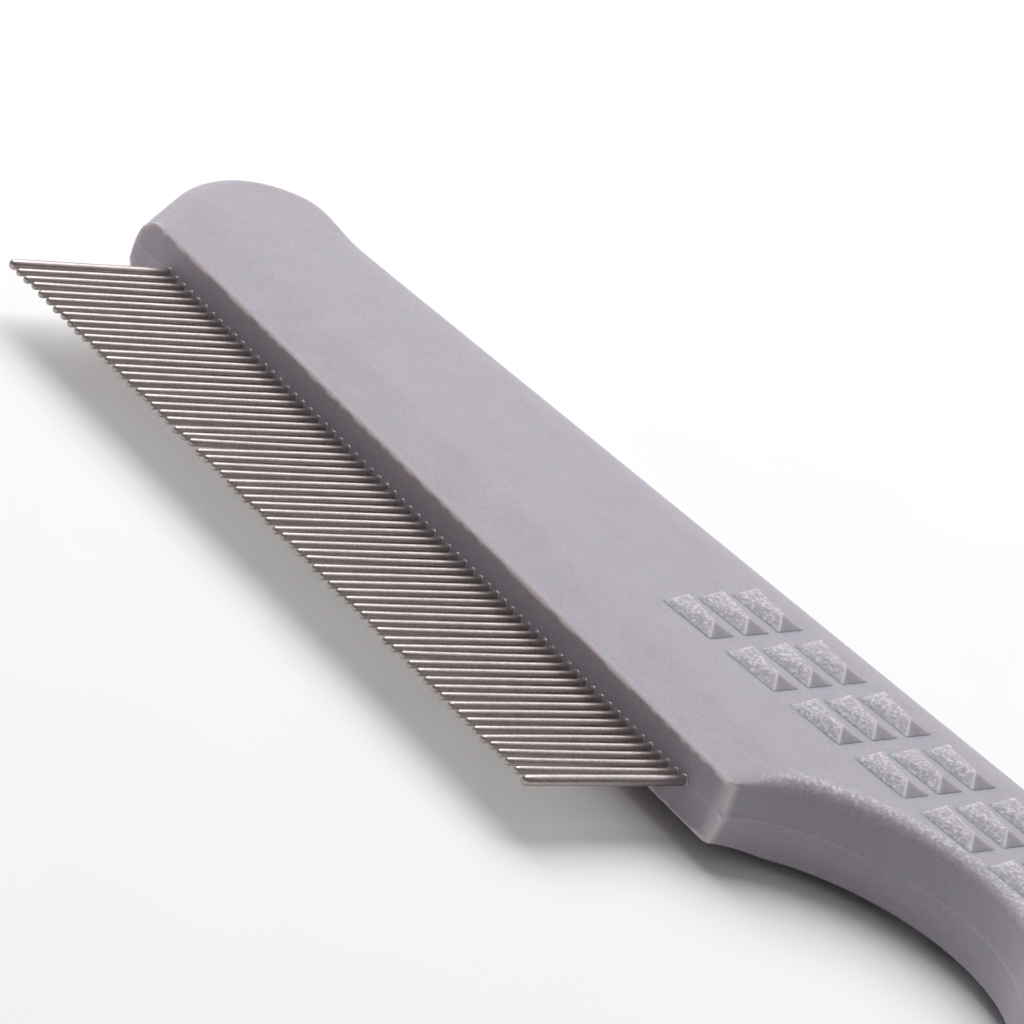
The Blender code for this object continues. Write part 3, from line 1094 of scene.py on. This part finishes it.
@dataclass
class GripWedges:
    """The raised wedges of the grip, three to a row, on one face."""

    zero: np.ndarray
    outline: Outline
    rows: int = 14
    columns: int = 3
    row_pitch: float = 5.8 * MM
    column_pitch: float = 3.3 * MM
    first: tuple[float, float] = (41.98 * MM, 8.67 * MM)
    length: float = 4.4 * MM
    width: float = 2.43 * MM
    near_back: tuple[float, float, float] = (0.05, 0.12, 0.14 * MM)
    near_front: tuple[float, float, float] = (0.785, 0.42, 0.585 * MM)
    far_front: tuple[float, float, float] = (0.78, 0.50, 0.585 * MM)
    far_back: tuple[float, float, float] = (0.07, 0.80, 0.50 * MM)
    base_corner: float = 0.22 * MM
    top_corner: float = 0.09 * MM
    arc_points: int = 5
    side_points: int = 3
    root: float = 0.3 * MM
    half: float = 2.95 * MM
    sharp: float = math.radians(48)

    def loop(self, corners: np.ndarray, radius: float) -> np.ndarray:
        """A closed path round four corners, with each corner softened by a parabola's arc.

        Args:
            corners: the corners, anticlockwise from the near back one.
            radius: how far the arcs reach along the sides.

        Returns:
            The points, by corner: first its arc's, then those of the side that follows it.
        """

        def toward(other: np.ndarray) -> np.ndarray:
            """The point a radius away from each corner, toward the other one."""
            run = other - corners
            return corners + run / np.linalg.norm(run, axis=1)[:, None] * radius

        start, end = toward(np.roll(corners, 1, axis=0)), toward(np.roll(corners, -1, axis=0))
        t = np.linspace(0.0, 1.0, self.arc_points)[None, :, None]
        arc = (
            start[:, None] * (1 - t) ** 2
            + corners[:, None] * 2 * t * (1 - t)
            + end[:, None] * t**2
        )
        share = (np.arange(1, self.side_points + 1) / (self.side_points + 1))[None, :, None]
        side = end[:, None] * (1 - share) + np.roll(start, -1, axis=0)[:, None] * share
        return np.concatenate([arc, side], axis=1)

    def rounds(self) -> tuple[np.ndarray, ...]:
        """One wedge's surface: its four walls from the base to the top, and the top closed inward.

        Returns:
            Its grid of points in the wedge's own frame, their coarseness, painted edge highlight
            and painted crease shade.
        """
        size = np.array([self.length, self.width, 1.0])
        ground = np.array([[0, 0, 0], [1, 0, 0], [1, 1, 0], [0, 1, 0]]) * size
        top = np.array([self.near_back, self.near_front, self.far_front, self.far_back]) * size
        base = self.loop(ground, self.base_corner)
        crown = self.loop(top, self.top_corner)
        middle = crown.mean(axis=(0, 1))
        walls = [base + (crown - base) * share for share in (0.0, 0.06, 0.5, 0.9, 0.97)]
        caps = [middle + (crown - middle) * share for share in (0.985, 0.93, 0.6, 0.3, 0.0)]
        grid = np.stack([base - np.array([0.0, 0.0, self.root]), *walls, *caps], axis=2)

        rough = np.zeros(base.shape[:2])
        rough[0, 2:] = 1.0
        rough[1, : self.arc_points // 2 + 1] = 1.0
        # Painted highlight up the edge of the near front corner.
        edge = np.zeros(base.shape[:2])
        edge[1, : self.arc_points] = np.sin(np.linspace(0.15, math.pi - 0.15, self.arc_points))
        rows = len(walls) + 1
        coarse = np.concatenate(
            [np.repeat(rough[..., None], rows, axis=2), np.ones((*rough.shape, len(caps)))], axis=2
        )
        edge_highlight = np.zeros_like(coarse)
        edge_highlight[..., 2:rows] = edge[..., None]
        # Painted shade along the wedge's base, where it meets the face.
        base_shade = np.zeros_like(coarse)
        base_shade[..., :2] = 1.0
        count = base.shape[0] * base.shape[1]
        flat = [value.reshape(count, -1) for value in (coarse, edge_highlight, base_shade)]
        return grid.reshape(count, -1, 3), *flat

    def build(self, face: Face, material: bpy.types.Material) -> None:
        """Builds one face's wedges, sunk a little into it.

        Args:
            face: the face that the wedges stand on.
            material: their finish.
        """
        wedge, rough, edge_highlight, base_shade = self.rounds()
        lean = np.stack([self.outline.along, self.outline.across])
        stock = Stock()
        for row, column in np.ndindex(self.rows, self.columns):
            shift = np.array([row * self.row_pitch, column * self.column_pitch])
            place = np.array(self.first) + shift @ lean
            plan = wedge[..., :2] @ lean + place
            height = (self.half + wedge[..., 2:]) * face.value
            grid = np.concatenate([plan, height], axis=-1) + self.zero
            stock.add_grid(grid, wrap=True, coarse=rough, seam=edge_highlight, crease=base_shade)
            low = grid[:, 0]
            floor = np.stack([low, np.broadcast_to(low.mean(axis=0), low.shape)], axis=1)
            stock.add_grid(floor, wrap=True)
        name = f"grip_wedges_{face.name.lower()}"
        settle(stock.build(name, sharp=self.sharp), material, Slot.PLASTIC)


# ---------------------------------------------------------------- the pins


class PinKind(Enum):
    """The two gauges of wire, by their radius."""

    FINE = 0.26 * MM
    GUARD = 0.35 * MM


@dataclass
class PinRow:
    """The row of steel pins, and the plastic that has crept up round each one's root."""

    zero: np.ndarray
    reach: float = 13.0 * MM
    depth: float = 4.9 * MM
    pitch: float = 0.87 * MM
    count: int = 67
    sides: int = 20
    tip_length: float = 0.30 * MM
    wander: float = 0.045 * MM
    collar_width: float = 0.15 * MM
    collar_height: float = 0.17 * MM
    collar_overlap: float = 0.03 * MM
    collar_root: float = 0.2 * MM
    collar_sides: int = 14
    link_height: float = 0.26 * MM
    link_length: float = 0.5 * MM
    link_cover: float = 0.1 * MM

    def __post_init__(self) -> None:
        """Draws how far each pin's tip strays from the straight."""
        self.stray = np.random.default_rng(7).normal(0.0, self.wander, (80, 2))

    def pin_grid(self, number: int, kind: PinKind) -> np.ndarray:
        """One pin: a rod with a rounded tip, spun from its profile and bent by its stray.

        The radius is the wire's as far as the tip, and then falls as an ellipse's does. The bend
        grows with the square of the distance from the root.

        Args:
            number: the pin's place in the row, counted from the first guard pin.
            kind: the pin's gauge.

        Returns:
            A grid of sides by profile points.
        """
        radius = kind.value
        tip = self.tip_length * radius / PinKind.FINE.value
        turn = np.linspace(0.0, math.pi / 2, 8)
        along = np.concatenate([[-self.depth, -self.depth, 0.0], np.linspace(1.5, 10.5, 7) * MM])
        along = np.concatenate([along, self.reach - tip + tip * np.sin(turn)])
        width = np.concatenate([[0.0, radius], np.full(8, radius), radius * np.cos(turn)])
        width[-1] = 0.0
        grid = spun_grid(width, along, self.sides)
        bend = np.clip(along / self.reach, 0.0, 1.0) ** 2
        grid[..., 0] += bend * self.stray[number, 0]
        grid[..., 2] += bend * self.stray[number, 1]
        grid[..., 0] += number * self.pitch
        return grid + self.zero

    def link_grid(self, first: int, second: int) -> np.ndarray:
        """The buried bar between two pins: a four-sided tube along X, closed at both ends.

        Args:
            first: the lower pin's place in the row.
            second: the higher one's.

        Returns:
            A grid of sides by points along the bar.
        """
        low, high = first * self.pitch, second * self.pitch
        y = self.depth - self.link_cover - np.array([0.0, 1.0, 1.0, 0.0]) * self.link_length
        z = np.array([-0.5, -0.5, 0.5, 0.5]) * self.link_height
        x = np.array([low, low, high, high])
        size = np.array([0.0, 1.0, 1.0, 0.0])
        middle = (y.mean(), z.mean())
        grid = np.empty((4, 4, 3))
        grid[..., 0] = x[None]
        grid[..., 1] = middle[0] + (y[:, None] - middle[0]) * size[None]
        grid[..., 2] = middle[1] + (z[:, None] - middle[1]) * size[None]
        return grid + self.zero

    def build_pins(self, material: bpy.types.Material) -> None:
        """Builds the pins, each piece in the place of the solid it stands for.

        Args:
            material: their finish.
        """
        nodes = sorted(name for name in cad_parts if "pin" in name)
        for node in nodes:
            low, high = (np.array(corner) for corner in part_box(node))
            kind = PinKind.GUARD if "guard" in node else PinKind.FINE
            start = round((low[0] + kind.value - self.zero[0]) / self.pitch)
            finish = round((high[0] - kind.value - self.zero[0]) / self.pitch)
            stock = Stock()
            for number in range(start, finish + 1):
                stock.add_grid(self.pin_grid(number, kind), wrap=True)
            if finish > start:
                stock.add_grid(self.link_grid(start, finish), wrap=True)
            settle(stock.build(f"{node}_wire"), material, Slot.STEEL, node)

    def build_collars(self, material: bpy.types.Material) -> None:
        """Builds the collars: a quarter ellipse's curve from the tooth edge to each pin.

        Args:
            material: their finish.
        """
        turn = np.linspace(0.0, math.pi / 2, 6)
        stock = Stock()
        for number in range(self.count):
            kind = PinKind.GUARD if number in (0, self.count - 1) else PinKind.FINE
            out = kind.value - self.collar_overlap + self.collar_width * np.cos(turn)
            along = self.collar_height * np.sin(turn)
            out = np.concatenate([[0.0, out[0]], out, [0.0]])
            along = np.concatenate([[-self.collar_root] * 2, along, [self.collar_height]])
            grid = spun_grid(out, along, self.collar_sides)
            grid[..., 0] += number * self.pitch
            stock.add_grid(grid + self.zero, wrap=True)
        settle(stock.build("pin_root_collars", sharp=math.radians(70)), material, Slot.PLASTIC)


# ---------------------------------------------------------------- the studio


@dataclass
class SoftBox:
    """A rectangular studio light."""

    name: str
    place: tuple[float, float, float]
    size: tuple[float, float]
    power: float
    color: Color = (1.0, 1.0, 1.0)

    def build(self) -> None:
        """Builds the light, turned to the comb."""
        data = bpy.data.lights.new(self.name, "AREA")
        data.shape = "RECTANGLE"
        data.size, data.size_y = self.size
        data.energy = self.power
        data.color = self.color
        lamp = bpy.data.objects.new(self.name, data)
        lamp.location = self.place
        toward = -Vector(self.place)
        lamp.rotation_euler = toward.to_track_quat("-Z", "Y").to_euler()
        bpy.context.scene.collection.objects.link(lamp)


@dataclass
class Studio:
    """The pale floor, the lights and the camera."""

    azimuth: float = 43.0909
    elevation: float = 22.5774
    roll: float = 24.4020
    distance: float = 548.42 * MM
    aim: tuple[float, float] = (27.505 * MM, 8.730 * MM)
    lens: float = 310.36
    sensor: float = 36.0
    floor_gap: float = 0.02 * MM
    floor_half: float = 4.0
    floor_flat: float = 3.0
    floor_curve: float = 0.15
    floor_lines: int = 41
    sky: Color = (1.0, 0.96, 0.96)
    sky_strength: float = 0.23

    def build_floor(self, material: bpy.types.Material) -> None:
        """Builds the floor: a wide sheet, flat round the comb, that curves up far away.

        Past its flat part it rises with the square of the distance.

        Args:
            material: its finish.
        """
        low = CAD_BOX[0].z - self.floor_gap
        across = np.linspace(-1.0, 1.0, self.floor_lines) * self.floor_half
        x, y = np.meshgrid(across, across, indexing="ij")
        past_flat = np.clip(np.sqrt(x**2 + y**2) - self.floor_flat, 0.0, None)
        rise = past_flat**2 * self.floor_curve
        stock = Stock()
        stock.add_grid(np.stack([x, y, low + rise], axis=-1))
        floor = stock.build("studio_floor")
        floor.data.materials.append(material)

    def build_sky(self) -> None:
        """Fills the room with a plain even light."""
        world = bpy.data.worlds.new("studio_room")
        world.use_nodes = True
        background = world.node_tree.nodes["Background"]
        background.inputs["Color"].default_value = (*self.sky, 1.0)
        background.inputs["Strength"].default_value = self.sky_strength
        bpy.context.scene.world = world

    def build_lights(self) -> None:
        """Sets the soft boxes."""
        boxes = (
            SoftBox("key_box", (-0.45, 0.17, 0.66), (0.85, 0.85), 7.8),
            SoftBox("back_box", (-0.05, 0.90, 0.82), (1.0, 0.35), 1.1, (0.88, 0.95, 1.0)),
        )
        for box in boxes:
            box.build()

    def build_camera(self, zero: np.ndarray) -> None:
        """Sets the camera by the direction it looks from, its distance and its roll.

        Args:
            zero: the zero of the plan coordinates, from which the aim is measured.
        """
        turn, tilt = math.radians(self.azimuth), math.radians(self.elevation)
        back = Vector(
            (
                math.sin(turn) * math.cos(tilt),
                -math.cos(turn) * math.cos(tilt),
                math.sin(tilt),
            )
        )
        data = bpy.data.cameras.new("studio_camera")
        data.type = "PERSP"
        data.lens = self.lens
        data.sensor_width = self.sensor
        data.clip_start = 0.01
        data.clip_end = 20.0
        camera = bpy.data.objects.new("studio_camera", data)
        aim = Vector((zero[0] + self.aim[0], zero[1] + self.aim[1], 0.0))
        level = back.to_track_quat("Z", "Y").to_matrix()
        rolled = level @ Matrix.Rotation(math.radians(self.roll), 3, "Z")
        camera.matrix_world = Matrix.Translation(aim + back * self.distance) @ rolled.to_4x4()
        bpy.context.scene.collection.objects.link(camera)
        bpy.context.scene.camera = camera

    def build(self, zero: np.ndarray, material: bpy.types.Material) -> None:
        """Builds the whole studio and asks for plain colours, with no film curve.

        Args:
            zero: the zero of the plan coordinates.
            material: the floor's finish.
        """
        self.build_floor(material)
        self.build_sky()
        self.build_lights()
        self.build_camera(zero)
        bpy.context.scene.view_settings.view_transform = "Standard"


def plan_zero() -> np.ndarray:
    """The place where the first guard pin leaves the tooth edge, read from its solid."""
    low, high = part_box("guard_pin_head")
    return np.array([(low.x + high.x) / 2, low.y + PinRow.reach, 0.0])


def main() -> None:
    """Builds the comb and its studio."""
    logging.basicConfig(level=logging.INFO, format="%(message)s")
    effects = Effects(grain=grain_group(), wear=wear_group())
    zero = plan_zero()

    plastic = MouldedPlastic().material(effects)
    crept = MouldedPlastic(
        name="crept_plastic",
        color=(0.36, 0.34, 0.37),
        shade=(0.30, 0.28, 0.31),
        roughness=(0.08, 0.12),
        gloss=0.5,
        index=2.3,
        grain_depth=0.001 * MM,
    ).material(effects)
    steel = DrawnSteel().material(effects)

    handle = CombHandle(zero)
    handle.build(plastic)
    HeelNub(zero).build(plastic)
    wedges = GripWedges(zero, handle.outline)
    for face in Face:
        wedges.build(face, plastic)
    pins = PinRow(zero)
    pins.build_pins(steel)
    pins.build_collars(crept)

    Studio().build(zero, PaleBoard().material(effects))


if __name__ == "__main__":
    main()
